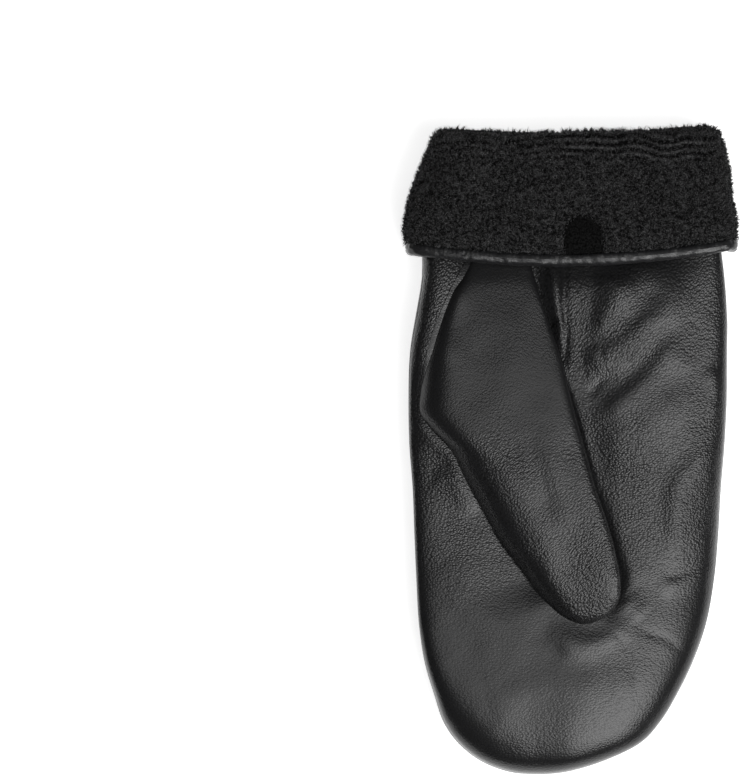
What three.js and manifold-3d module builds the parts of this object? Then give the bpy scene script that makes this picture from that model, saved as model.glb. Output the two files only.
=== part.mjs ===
// A woman's leather mitten for the right hand, lying on its back with the palm up. Its cuff is turned
// back over the wrist, so the pile lining shows on the outside of the cuff and inside the mouth.
//
// Lengths are millimetres. X runs from the index-finger side (-) to the little-finger side (+), Y from
// the fingertips (-) to the mouth (+), and Z up from the surface that the mitten lies on.
//
// Every layer of the hand and cuff is the outer leather of the hand moved outwards or inwards. The hand
// is a stack of sections, each a rounded flat oval, and `handPoint` gives a point of any layer.
import * as THREE from "three";
import { mergeVertices } from "three/addons/utils/BufferGeometryUtils.js";
import Module from "manifold-3d";

const wasm = await Module();
wasm.setup();

// Thickness of the layers, and the gap that is left between two pieces.
const LEATHER = 1.5;
const PILE = 3.2;
const GAP = 0.3;

// How far the oval of a section is flattened where it lies on the surface, all of it on sections higher
// than `PRESSED_FROM`, and how square the oval is.
const PRESSED = 1.3;
const PRESSED_FROM = 10;
const SQUARENESS = 3.2;

// The cuff: its fold at the mouth, its hem, and the slack between the turned-back leather and the hand.
// Fold and hem bow towards the mouth at both sides, a little more on the little-finger side.
const FOLD_PALM_SIDE = 108.6;
const FOLD_BACK_SIDE = 109.6;
const FOLD_BOW = { rise: 1.8, tilt: 0.5 };
const HEM_MIDDLE = 66.2;
const HEM_BOW = { rise: 4.8, tilt: 0.8 };
const SLACK_AT_FOLD = 0.5;
const SLACK_AT_HEM = 3.1;
const SLACK_UNDERNEATH = 0.95;
const SLACK_AT_SIDES = 0.35; // share of the difference between underneath and the palm side
const PILE_AT_HEM = 1.9;
const HEM_THINNING = 7;

// The rolled leather binding along the hem.
const BINDING_HALF_WIDTH = 1.75;
const BINDING_HALF_DEPTH = 2.2;

// The tongue-shaped tab that is sewn into the binding and lies in the pile.
const TAB = { x: 3.4, halfWidth: 7, length: 12.6, thickness: 1.2, sunk: 0.9, clearance: 0.3 };

// The stitched ridge on the back of the hand: a fold of leather between two grooves.
const POINT_SEAM = { x: 4.6, from: -23, to: 79, ridge: 1.0, groove: 0.8, depth: 0.7 };

// Sections of the hand's outer leather, from the mouth to the fingertips. The last one is a point.
const HAND_COLUMNS = ["y", "left", "right", "bottom", "top"];
const HAND_SECTIONS = [
  [118.0, -42.5, 46.8, 5.6, 25.2],
  [104.0, -47.6, 50.6, 5.6, 25.8],
  [90.0, -52.2, 51.7, 5.6, 26.0],
  [76.0, -53.9, 53.6, 5.6, 26.0],
  [62.0, -53.7, 55.0, 4.4, 26.0],
  [48.0, -55.8, 56.0, 0.9, 25.8],
  [34.0, -57.8, 55.9, 0.0, 25.6],
  [18.0, -58.2, 55.8, 0.0, 25.4],
  [2.0, -57.9, 55.0, 0.0, 25.2],
  [-14.0, -56.7, 53.7, 0.0, 25.0],
  [-30.0, -56.1, 52.8, 0.0, 24.8],
  [-46.0, -55.4, 51.4, 0.0, 24.4],
  [-62.0, -54.5, 48.6, 0.0, 23.8],
  [-76.0, -52.5, 43.9, 0.0, 23.0],
  [-88.0, -49.0, 38.2, 0.0, 22.0],
  [-98.0, -45.6, 32.2, 0.2, 20.8],
  [-106.0, -39.9, 24.6, 0.8, 19.0],
  [-112.3, -31.6, 11.4, 2.2, 16.4],
  [-116.0, -21.6, -1.2, 4.6, 13.4],
  [-117.2, -11.2, -11.2, 9.0, 9.0],
];
const WRIST_ROW = 5; // the hand enters the cuff at this row
const TIP_ROW = 13; // from this row on, inner layers end short of the tip

// Folds and hollows of the palm leather, in rows of fromX, fromY, toX, toY, reach and height: a line from
// one point to another, its reach to each side, and how far it stands up or, below zero, sinks in.
const PALM_FOLDS = [
  [-17.0, -4.0, 3.0, -50.0, 21.0, -3.4],
  [-1.5, 66.0, -2.0, 34.0, 2.8, 1.5],
  [6.0, 24.0, 38.0, 50.0, 6.0, 1.5],
  [9.0, 14.0, 45.0, 37.0, 4.0, -0.9],
  [12.0, 6.0, 46.0, 28.0, 6.0, 1.3],
  [33.0, -46.0, 40.0, -22.0, 5.0, 1.3],
  [22.0, -62.0, 52.0, -40.0, 3.2, -0.8],
  [10.0, 66.0, 11.0, 42.0, 3.5, -0.7],
];

// Sections across the thumb, from its root under the cuff to its tip: the index side's and the
// little-finger side's edge, the lowest and highest point, and how square each side of the oval is. The
// last one is a point.
const THUMB_COLUMNS = ["leftX", "leftY", "rightX", "rightY", "bottom", "top", "squareLeft", "squareRight"];
const THUMB_SECTIONS = [
  [-33.2, 76.0, -18.2, 76.0, 17.5, 24.0, 4.0, 4.2],
  [-38.3, 67.3, -15.0, 67.3, 16.0, 27.6, 4.0, 4.2],
  [-44.4, 55.9, -11.0, 53.7, 15.0, 30.2, 4.0, 4.2],
  [-49.4, 43.6, -7.1, 41.9, 15.0, 32.2, 4.0, 4.2],
  [-52.8, 31.5, -3.5, 31.5, 15.0, 33.8, 4.0, 4.2],
  [-54.1, 20.7, -0.7, 20.0, 15.6, 35.0, 3.6, 4.2],
  [-54.3, 13.5, 1.8, 10.3, 16.5, 36.0, 2.9, 4.2],
  [-50.2, 7.1, 4.9, -0.8, 18.5, 37.0, 2.3, 4.2],
  [-43.1, -0.6, 8.1, -12.6, 21.0, 37.8, 2.0, 4.1],
  [-38.8, -9.3, 10.9, -20.8, 22.4, 38.0, 2.0, 4.0],
  [-33.5, -19.0, 13.1, -27.6, 22.6, 37.8, 2.0, 3.9],
  [-29.5, -26.5, 14.7, -33.3, 22.7, 37.4, 2.0, 3.7],
  [-24.8, -34.7, 16.0, -39.4, 22.8, 36.8, 2.0, 3.5],
  [-18.7, -42.6, 17.1, -45.5, 23.0, 35.9, 2.05, 3.3],
  [-13.3, -49.8, 17.4, -51.2, 23.4, 34.8, 2.1, 3.0],
  [-8.3, -55.5, 15.8, -55.9, 24.4, 33.3, 2.2, 2.8],
  [-2.6, -60.1, 11.4, -60.3, 26.0, 31.4, 2.2, 2.6],
  [4.2, -62.5, 4.2, -62.5, 28.6, 28.6, 2.2, 2.4],
];

// The oval hole in the palm that the thumb is set over, cut down from above to `bottom`.
const THUMB_HOLE = { x: -27.6, y: 34.0, halfWidth: 17.5, halfLength: 27.0, bottom: 13.0, depth: 24.0 };

// Height of the side seam that joins palm and back, in rows of y, the index side's height and the
// little-finger side's: on the index side it shows from above.
const SEAM_HEIGHTS = [
  [130, 17.0, 13.5],
  [60, 17.0, 12.0],
  [-60, 16.0, 10.0],
  [-95, 12.5, 8.0],
  [-130, 6.0, 6.0],
];
const SEAM_SHEET = { reach: 90, thickness: 60 }; // a sheet that holds all of the palm side

// How finely the pieces are faceted.
const AROUND = 32;
const THUMB_AROUND = 20;
const BINDING_AROUND = 8;

const lerp = (a, b, t) => a + (b - a) * t;
const clamp = (v, low, high) => Math.min(high, Math.max(low, v));
const smooth = (t) => t * t * (3 - 2 * t);

// A row between two rows of a table, by Catmull-Rom, where `at` is a row number with a fraction.
function rowAt(table, at, columns) {
  const last = table.length - 1;
  const i = clamp(Math.floor(at), 0, last - 1);
  const t = at - i;
  const row = (k) => table[clamp(k, 0, last)];
  const [p, q, r] = [row(i - 1), row(i), row(i + 1)];
  // Past the closed end the edges change places, so that the outline runs round the tip.
  const s = i + 2 > last ? mirrored(table[last - 1], columns) : row(i + 2);
  const value = (k) =>
    0.5 * (2 * q[k] + (r[k] - p[k]) * t + (2 * p[k] - 5 * q[k] + 4 * r[k] - s[k]) * t * t
      + (3 * q[k] - p[k] - 3 * r[k] + s[k]) * t * t * t);
  return Object.fromEntries(columns.map((name, k) => [name, value(k)]));
}

// The row before the tip with its edges exchanged.
const OPPOSITE = {
  left: "right", right: "left", bottom: "top", top: "bottom",
  leftX: "rightX", leftY: "rightY", rightX: "leftX", rightY: "leftY",
};
function mirrored(row, columns) {
  return columns.map((name, k) => row[OPPOSITE[name] ? columns.indexOf(OPPOSITE[name]) : k]);
}

// The row number at which the hand's sections reach a given y.
function handRowAt(y) {
  let [low, high] = [0, HAND_SECTIONS.length - 1];
  for (let step = 0; step < 40; step++) {
    const middle = (low + high) / 2;
    if (rowAt(HAND_SECTIONS, middle, HAND_COLUMNS).y > y) low = middle;
    else high = middle;
  }
  return low;
}

// Height that the palm's folds and hollows add at a point of its plan.
function palmRelief(x, y) {
  return PALM_FOLDS.reduce((sum, [x1, y1, x2, y2, reach, height]) => {
    const [dx, dy] = [x2 - x1, y2 - y1];
    const along = ((x - x1) * dx + (y - y1) * dy) / (dx * dx + dy * dy);
    const nearest = clamp(along, 0, 1);
    const away = Math.hypot(x - x1 - nearest * dx, y - y1 - nearest * dy) / reach;
    return sum + height * Math.exp(-away * away);
  }, 0);
}

// A signed power, which makes an oval squarer than an ellipse.
const oval = (v, squareness) => Math.sign(v) * Math.abs(v) ** (2 / squareness);

// A point of the layer that lies `out` outside the hand's leather, at a row of the sections and an angle
// that starts at the little-finger side and turns over the palm.
function handPoint(row, angle, out) {
  const s = rowAt(HAND_SECTIONS, row, HAND_COLUMNS);
  const lowest = s.bottom - PRESSED * clamp((s.top - s.bottom) / PRESSED_FROM, 0, 1);
  const [middle, half] = [(s.left + s.right) / 2, (s.right - s.left) / 2];
  const side = oval(Math.cos(angle), SQUARENESS);
  const rise = oval(Math.sin(angle), SQUARENESS);
  const relief = Math.max(rise, 0) * palmRelief(middle + half * side, s.y);
  const x = middle + Math.max(half + out, 0) * side;
  const z = (lowest + s.top) / 2 + Math.max((s.top - lowest) / 2 + out, 0) * rise + relief;
  return new THREE.Vector3(x, s.y, Math.max(z, s.bottom - out, 0));
}

const bow = ({ rise, tilt }, angle) => rise * Math.cos(angle) ** 2 + tilt * Math.cos(angle);
const foldY = (angle) =>
  lerp(FOLD_BACK_SIDE, FOLD_PALM_SIDE, smooth((Math.sin(angle) + 1) / 2)) + bow(FOLD_BOW, angle);
const hemY = (angle) => HEM_MIDDLE + bow(HEM_BOW, angle);

// The same for the wrist and cuff, by y instead of row.
const wristPoint = (y, angle, out) => handPoint(handRowAt(y), angle, out);

// Slack under the turned-back leather, from the fold to the hem; the weight closes it underneath.
function slackAt(angle, y) {
  const atHem = lerp(SLACK_UNDERNEATH, SLACK_AT_HEM, clamp(SLACK_AT_SIDES + Math.sin(angle), 0, 1));
  return lerp(SLACK_AT_FOLD, atHem, clamp((foldY(angle) - y) / (FOLD_PALM_SIDE - HEM_MIDDLE), 0, 1));
}

const angles = (count) => Array.from({ length: count }, (_, k) => (2 * Math.PI * k) / count);
const steps = (count) => Array.from({ length: count + 1 }, (_, k) => k / count);
const ringOf = (at) => angles(AROUND).map(at);

// Rings of the hand from the tip to the fold, `out` outside its leather. The first ring is one point.
const HAND_ROWS = [18.55, 18, 17.4, 16.7, 16, 15, 14, 13, 12, 11, 10.25, 9.5, 8.75, 8, 7.25, 6.5, 5.75];
const WRIST_STEPS = [0, 0.25, 0.5, 0.75, 1];
const wristStart = rowAt(HAND_SECTIONS, WRIST_ROW, HAND_COLUMNS).y;
function handRings(out) {
  const last = HAND_SECTIONS.length - 1;
  const tip = rowAt(HAND_SECTIONS, last, HAND_COLUMNS);
  const pole = [new THREE.Vector3((tip.left + tip.right) / 2, tip.y - out, (tip.bottom + tip.top) / 2)];
  const inwards = Math.max(-out, 0);
  const hand = HAND_ROWS.map((row) => ringOf((angle) => {
    const p = handPoint(row, angle, out);
    // Inner layers end short of the tip by their own depth.
    p.y += inwards * smooth(clamp((row - TIP_ROW) / (last - 1 - TIP_ROW), 0, 1));
    return p;
  }));
  const wrist = WRIST_STEPS.map((t) => ringOf((angle) =>
    wristPoint(lerp(wristStart, foldY(angle), t), angle, out)));
  return [pole, ...hand, ...wrist];
}

// The turn of a layer round the fold, from `inner` inside the leather to the same depth past the slack.
function foldRings(inner, count) {
  const middle = SLACK_AT_FOLD / 2;
  const radius = inner + middle;
  return steps(count).slice(1, -1).map((t) => ringOf((angle) =>
    wristPoint(foldY(angle), angle, middle - radius * Math.cos(Math.PI * t))
      .add(new THREE.Vector3(0, radius * Math.sin(Math.PI * t), 0))));
}

// Rings of the turned-back cuff from fold to hem. `depth` gives the layer's place outside the slack.
const CUFF_STEPS = [0, 0.2, 0.45, 0.7, 0.87, 1];
function cuffRings(depth) {
  const endsShort = 2 * BINDING_HALF_WIDTH + GAP;
  return CUFF_STEPS.map((t) => ringOf((angle) => {
    const y = lerp(foldY(angle), hemY(angle) + endsShort, t);
    return wristPoint(y, angle, slackAt(angle, y) + depth(y - hemY(angle) - endsShort));
  }));
}

// Rings joined into one closed surface. A ring of one point closes the surface like a pole, and with
// `loop` the last ring is joined to the first.
function skin(rings, loop = false) {
  const positions = [];
  const starts = rings.map((ring) => {
    const start = positions.length / 3;
    ring.forEach((p) => positions.push(p.x, p.y, p.z));
    return start;
  });
  const index = [];
  const pairs = rings.length - (loop ? 0 : 1);
  for (let i = 0; i < pairs; i++) {
    const j = (i + 1) % rings.length;
    const count = Math.max(rings[i].length, rings[j].length);
    const at = (r, n) => starts[r] + (n % rings[r].length);
    // Both faces of a wall split their quads along the same diagonal, so the wall keeps its thickness.
    const turn = rings[i].returning && rings[j].returning ? 0 : 1;
    for (let k = 0; k < count; k++) {
      if (rings[i].length > 1) index.push(at(i, k), at(i, k + 1), at(j, k + 1 - turn));
      if (rings[j].length > 1) index.push(at(i, k + turn), at(j, k + 1), at(j, k));
    }
  }
  const geometry = new THREE.BufferGeometry();
  geometry.setAttribute("position", new THREE.Float32BufferAttribute(positions, 3));
  geometry.setIndex(index);
  return geometry;
}

// A geometry as a solid that can be cut. Its faces are turned round if they point inwards.
function solid(geometry) {
  const bare = geometry.clone();
  bare.deleteAttribute("normal");
  bare.deleteAttribute("uv");
  const merged = mergeVertices(bare, 1e-4);
  const make = (triVerts) => new wasm.Manifold(new wasm.Mesh({
    numProp: 3,
    vertProperties: merged.attributes.position.array,
    triVerts,
  }));
  const triVerts = new Uint32Array(merged.index.array);
  const made = make(triVerts);
  return made.volume() > 0 ? made : make(triVerts.reverse());
}

function geometryOf(made) {
  const mesh = made.getMesh();
  const geometry = new THREE.BufferGeometry();
  geometry.setAttribute("position", new THREE.BufferAttribute(mesh.vertProperties, 3));
  geometry.setIndex(new THREE.BufferAttribute(mesh.triVerts, 1));
  geometry.computeVertexNormals();
  return geometry;
}

const reversed = (rings) => [...rings].reverse().map((ring) => Object.assign([...ring], { returning: true }));

// The leather of hand and cuff, still in one piece: hand outside, up to the fold, the cuff's inner face
// down to the hem, its outer face back up, round the fold and down the inside of the hand.
function leatherBag() {
  return solid(skin([
    ...handRings(0),
    ...cuffRings(() => 0),
    ...reversed(cuffRings(() => LEATHER)),
    ...reversed(foldRings(LEATHER, 3)),
    ...reversed(handRings(-LEATHER)),
  ]));
}

// The pile lining: a bag inside the leather that comes out of the mouth, round the fold and over the cuff.
function liningBag() {
  const backing = LEATHER + GAP;
  const pileDepth = (aboveHem) => lerp(PILE_AT_HEM, PILE, smooth(clamp(aboveHem / HEM_THINNING, 0, 1)));
  return solid(skin([
    ...handRings(-backing),
    ...foldRings(backing, 3),
    ...cuffRings(() => backing),
    ...reversed(cuffRings((aboveHem) => backing + pileDepth(aboveHem))),
    ...reversed(foldRings(backing + PILE, 5)),
    ...reversed(handRings(-backing - PILE)),
  ]));
}

// A thick sheet that bends with the height of the side seam and starts `lift` above it. What it holds
// belongs to the palm.
function seamSheet(lift) {
  const { reach, thickness } = SEAM_SHEET;
  const sides = (offset) => SEAM_HEIGHTS.map(([y, indexSide, littleFingerSide]) => [
    new THREE.Vector3(-reach, y, indexSide + offset),
    new THREE.Vector3(reach, y, littleFingerSide + offset),
  ]);
  const [low, high] = [sides(lift), sides(lift + thickness)];
  const rings = low.map((pair, k) => [pair[0], pair[1], high[k][1], high[k][0]]);
  const middleOf = (ring) => [ring.reduce((sum, p) => sum.add(p), new THREE.Vector3()).divideScalar(4)];
  return solid(skin([middleOf(rings[0]), ...rings, middleOf(rings[rings.length - 1])]));
}

// The thumb as a tapered tube, drawn in by `inset`. Its half sizes stay above `THUMB_THINNEST` where it is
// drawn in.
const THUMB_THINNEST = 0.4;
const THUMB_ROWS = [0.4, 1, 2, 3.2, 4.6, 6, 7.2, 8.5, 10.2, 12, 13.8, 15.3, 16.4];
function thumbTube(inset) {
  const at = (row) => rowAt(THUMB_SECTIONS, row, THUMB_COLUMNS);
  const middleOf = (s) =>
    new THREE.Vector3((s.leftX + s.rightX) / 2, (s.leftY + s.rightY) / 2, (s.bottom + s.top) / 2);
  const last = THUMB_SECTIONS.length - 1;
  const rings = THUMB_ROWS.map((row) => {
    const s = at(row);
    const across = new THREE.Vector3(s.rightX - s.leftX, s.rightY - s.leftY, 0).divideScalar(2);
    const [halfWidth, halfHeight] = [across.length(), (s.top - s.bottom) / 2]
      .map((half) => Math.max(half - inset, THUMB_THINNEST));
    across.normalize();
    return angles(THUMB_AROUND).map((angle) => {
      const square = Math.cos(angle) < 0 ? s.squareLeft : s.squareRight;
      const rise = halfHeight * oval(Math.sin(angle), square);
      return middleOf(s)
        .addScaledVector(across, halfWidth * oval(Math.cos(angle), square))
        .add(new THREE.Vector3(0, 0, rise));
    });
  });
  const ends = [at(0), at(last)].map((s, k) => middleOf(s).add(new THREE.Vector3(0, k ? inset : -inset, 0)));
  return solid(skin([[ends[0]], ...rings, [ends[1]]]));
}

function thumbHole() {
  const { x, y, halfWidth, halfLength, bottom, depth } = THUMB_HOLE;
  const outline = new THREE.Shape();
  outline.absellipse(0, 0, halfWidth, halfLength, 0, 2 * Math.PI, false, 0);
  const cutter = new THREE.ExtrudeGeometry(outline, { depth, bevelEnabled: false, curveSegments: 5 });
  cutter.translate(x, y, bottom);
  return solid(cutter);
}

// Two long grooves under the back of the hand, with the ridge of the point seam between them.
function pointSeamGrooves() {
  const { x, from, to, ridge, groove, depth } = POINT_SEAM;
  const [one, other] = [-1, 1].map((side) => {
    const cutter = new THREE.BoxGeometry(groove, to - from, 2 * depth);
    cutter.translate(x + (side * (ridge + groove)) / 2, (from + to) / 2, 0);
    return solid(cutter);
  });
  return one.add(other);
}

// The binding: a rolled strip round the hem, an oval carried round the cuff.
function hemBinding() {
  const rings = angles(BINDING_AROUND).map((turn) => ringOf((angle) => {
    const hem = hemY(angle);
    const depth = slackAt(angle, hem) + (LEATHER + GAP + PILE_AT_HEM) / 2;
    const y = hem + BINDING_HALF_WIDTH * (1 + Math.sin(turn));
    return wristPoint(y, angle, depth + BINDING_HALF_DEPTH * Math.cos(turn));
  }));
  return solid(skin(rings, true));
}

// The tab, widened by `extra` for the pocket that it leaves in the pile. Its round end points to the fold.
const POCKET_HEIGHT = TAB.thickness + 8;
function hemTab(extra, thickness) {
  const { x, halfWidth, length, sunk } = TAB;
  const half = halfWidth + extra;
  const outline = new THREE.Shape();
  outline.moveTo(-half, -extra);
  outline.lineTo(half, -extra);
  outline.lineTo(half, length - halfWidth);
  outline.absarc(0, length - halfWidth, half, 0, Math.PI, false);
  outline.closePath();
  const settings = { depth: thickness, bevelEnabled: false, curveSegments: 10 };
  const tab = new THREE.ExtrudeGeometry(outline, settings);
  const start = HEM_MIDDLE + 2 * BINDING_HALF_WIDTH + GAP;
  const surface = (y, pile) => wristPoint(y, Math.PI / 2,
    slackAt(Math.PI / 2, y) + LEATHER + GAP + pile).z;
  const [low, high] = [surface(start, PILE_AT_HEM), surface(start + length, PILE)];
  tab.rotateX(Math.atan2(high - low, length));
  tab.translate(x, start, low - sunk - extra);
  return solid(tab);
}

// The middle of the mouth, which closes the hand's outside to a plain solid for cutting the thumb.
function wristCap() {
  const s = rowAt(HAND_SECTIONS, handRowAt(FOLD_BACK_SIDE), HAND_COLUMNS);
  return [new THREE.Vector3((s.left + s.right) / 2, FOLD_BACK_SIDE, (s.bottom + s.top) / 2)];
}

// Palm and back meet at the side seam, in the leather and in the pile.
const leather = leatherBag();
const lining = liningBag().subtract(thumbHole()).subtract(hemTab(TAB.clearance, POCKET_HEIGHT));
const [belowSeam, aboveSeam] = [seamSheet(0), seamSheet(GAP)];
const palmPanel = leather.intersect(aboveSeam).subtract(thumbHole());
const backPanel = leather.subtract(belowSeam).subtract(pointSeamGrooves());
const handWithClearance = solid(skin([...handRings(GAP), wristCap()]));
const thumbPanel = thumbTube(0).subtract(thumbTube(LEATHER)).subtract(handWithClearance);

const LEATHER_LOOK = { color: 0x17181a, roughness: 0.42, metalness: 0 };
const PILE_LOOK = { color: 0x101011, roughness: 0.95, metalness: 0 };
const TAB_LOOK = { color: 0x0c0c0d, roughness: 0.7, metalness: 0 };

function piece(name, made, look) {
  const mesh = new THREE.Mesh(geometryOf(made), new THREE.MeshStandardMaterial(look));
  mesh.name = name;
  return mesh;
}

const mitten = new THREE.Group();
mitten.add(piece("palm_panel", palmPanel, LEATHER_LOOK));
mitten.add(piece("back_panel", backPanel, LEATHER_LOOK));
mitten.add(piece("thumb_panel", thumbPanel, LEATHER_LOOK));
mitten.add(piece("palm_lining", lining.intersect(aboveSeam), PILE_LOOK));
mitten.add(piece("back_lining", lining.subtract(belowSeam), PILE_LOOK));
mitten.add(piece("hem_binding", hemBinding(), LEATHER_LOOK));
mitten.add(piece("hem_tab", hemTab(0, TAB.thickness), TAB_LOOK));

export default mitten;
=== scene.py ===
import bpy
import numpy as np
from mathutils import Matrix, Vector


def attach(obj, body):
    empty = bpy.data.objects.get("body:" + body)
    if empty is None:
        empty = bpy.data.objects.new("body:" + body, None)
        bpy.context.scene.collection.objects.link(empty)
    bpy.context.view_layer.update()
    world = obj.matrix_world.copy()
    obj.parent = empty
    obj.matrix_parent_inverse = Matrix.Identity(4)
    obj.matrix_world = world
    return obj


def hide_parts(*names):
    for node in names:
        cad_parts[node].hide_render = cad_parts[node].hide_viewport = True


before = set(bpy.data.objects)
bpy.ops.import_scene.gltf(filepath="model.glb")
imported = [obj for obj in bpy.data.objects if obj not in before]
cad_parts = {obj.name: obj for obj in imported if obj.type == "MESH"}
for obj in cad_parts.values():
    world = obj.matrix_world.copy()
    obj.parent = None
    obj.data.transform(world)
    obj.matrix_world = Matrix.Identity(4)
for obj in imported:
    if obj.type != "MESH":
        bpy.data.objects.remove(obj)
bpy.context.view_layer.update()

# The camera looks straight down, from so far that the mitten shows almost without perspective. The
# frame is 740 by 779 pixels of 0.36 mm, and the mitten lies in its right half.
MM = 0.001
PIXEL = 0.36 * MM
FRAME_WIDTH, FRAME_HEIGHT = 740, 779
ORIGIN_COLUMN, ORIGIN_ROW = 571.0, 449.5
LENS = 300.0
SENSOR = 36.0
TRUE_SCALE_HEIGHT = 14 * MM

camera_data = bpy.data.cameras.new("camera")
camera_data.lens = LENS
camera_data.sensor_width = SENSOR
camera = bpy.data.objects.new("camera", camera_data)
camera.location = (
    (FRAME_WIDTH / 2 - ORIGIN_COLUMN) * PIXEL,
    (ORIGIN_ROW - FRAME_HEIGHT / 2) * PIXEL,
    TRUE_SCALE_HEIGHT + FRAME_HEIGHT * PIXEL * LENS / SENSOR,
)
bpy.context.scene.collection.objects.link(camera)
bpy.context.scene.camera = camera

# The hand's outer leather is a stack of sections, each a squarish oval that is pressed flat where it
# rests. Palm and back are cut from one thin black sheepskin and sewn together along both sides.
SQUARENESS = np.array([
    # y, index side, little-finger side
    [-117.0, 2.8, 2.6],
    [-100.0, 4.2, 2.5],
    [-75.0, 10.0, 2.35],
    [-50.0, 14.0, 2.4],
    [-25.0, 14.0, 3.2],
    [0.0, 14.0, 5.0],
    [25.0, 11.0, 6.8],
    [60.0, 7.0, 7.0],
    [118.0, 7.0, 7.0],
])
PRESSED = 1.3
PRESSED_FROM = 10.0
LEATHER = 1.2
HAND = np.array([
    # y, left, right, bottom, top
    [118.0, -41.3, 46.0, 5.6, 25.2],
    [104.0, -46.9, 49.8, 5.6, 25.8],
    [90.0, -51.6, 51.0, 5.6, 26.0],
    [76.0, -53.6, 53.2, 5.6, 26.0],
    [62.0, -53.7, 55.0, 4.4, 26.0],
    [48.0, -55.8, 56.0, 0.9, 25.8],
    [34.0, -57.8, 55.9, 0.0, 25.6],
    [18.0, -58.2, 55.8, 0.0, 25.4],
    [2.0, -57.9, 55.0, 0.0, 25.2],
    [-14.0, -56.7, 53.7, 0.0, 25.0],
    [-30.0, -56.1, 52.8, 0.0, 24.8],
    [-46.0, -55.4, 51.4, 0.0, 24.6],
    [-62.0, -54.5, 48.6, 0.0, 24.9],
    [-76.0, -52.5, 43.9, 0.0, 25.3],
    [-88.0, -49.0, 38.2, 0.0, 25.5],
    [-98.0, -45.6, 32.2, 0.2, 25.1],
    [-106.0, -39.9, 24.6, 0.8, 24.0],
    [-112.3, -31.6, 11.4, 2.2, 21.8],
    [-116.0, -21.6, -1.2, 4.6, 17.2],
    [-117.2, -11.2, -11.2, 9.0, 9.0],
])
TIP_TURNED = [0, 2, 1, 4, 3]
WRIST_ROW = 5.0
SEAM_HEIGHT = np.array([
    # y, index side, little-finger side
    [-130.0, 6.0, 6.0],
    [-95.0, 14.5, 8.0],
    [-60.0, 20.0, 10.0],
    [60.0, 21.5, 12.0],
    [130.0, 17.0, 13.5],
])


def spline(table, at, past_end):
    """Rows of a table at fractional row numbers, on the cubic through the rows (Catmull-Rom). The row
    `past_end` follows the last."""
    first = np.clip(np.floor(at).astype(int), 0, len(table) - 2)
    t = (at - first)[..., None]
    rows = np.vstack([table[:1], table, past_end])
    p, q, r, s = (rows[first + k] for k in range(4))
    square = (2 * p - 5 * q + 4 * r - s) * t**2
    return 0.5 * (2 * q + (r - p) * t + square + (3 * q - p - 3 * r + s) * t**3)


def smooth(t):
    """0 below 0, 1 above 1 and 3t^2 - 2t^3 between."""
    t = np.clip(t, 0, 1)
    return t * t * (3 - 2 * t)


def way_along(steps):
    """The way to each point from the first, given the steps between them."""
    return np.concatenate([[0], np.cumsum(steps)])


def lowest_of(bottom, top):
    """How low a section's oval reaches before it is pressed flat at its bottom: lower by PRESSED, less where
    the section is under PRESSED_FROM high."""
    return bottom - PRESSED * np.clip((top - bottom) / PRESSED_FROM, 0, 1)


def oval(v, square):
    """A signed power, sign(v) |v|^(2 / square), that makes a circle's sine or cosine squarer."""
    return np.sign(v) * np.abs(v) ** (2 / square)


def squareness(y, to_little_finger):
    """How square a section is at the height y on one of its sides."""
    index_side, other_side = (np.interp(y, SQUARENESS[:, 0], SQUARENESS[:, k]) for k in (1, 2))
    return np.where(to_little_finger, other_side, index_side)


def section_share(angle, y):
    """Where an angle lies on the section at y, as shares of its half width and half height: the cosine and
    the sine, each made squarer."""
    square = squareness(y, np.cos(angle) > 0)
    return oval(np.cos(angle), square), oval(np.sin(angle), square)


NOISE_TABLE = np.random.default_rng(5).uniform(-1, 1, (256, 256))


def noise(u, v, shift=0):
    """Smooth random heights from -1 to 1: random numbers at whole u and v, eased between them."""
    i, j = np.floor(u).astype(int), np.floor(v).astype(int)
    a, b = smooth(u - i), smooth(v - j)
    i, j = i + 37 * shift, j + 91 * shift
    near, far = NOISE_TABLE[i % 256, j % 256], NOISE_TABLE[(i + 1) % 256, j % 256]
    near_next = NOISE_TABLE[i % 256, (j + 1) % 256]
    far_next = NOISE_TABLE[(i + 1) % 256, (j + 1) % 256]
    return (near * (1 - a) + far * a) * (1 - b) + (near_next * (1 - a) + far_next * a) * b


HAND_FINE = np.linspace(0, len(HAND) - 1, 4001)
HAND_PAST_TIP = HAND[-2][TIP_TURNED]
HAND_FINE_Y = spline(HAND, HAND_FINE, HAND_PAST_TIP)[:, 0]


def row_at(y):
    """The row number of HAND at a given y, between the rows by the same cubic."""
    return np.interp(-y, -HAND_FINE_Y, HAND_FINE)


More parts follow.
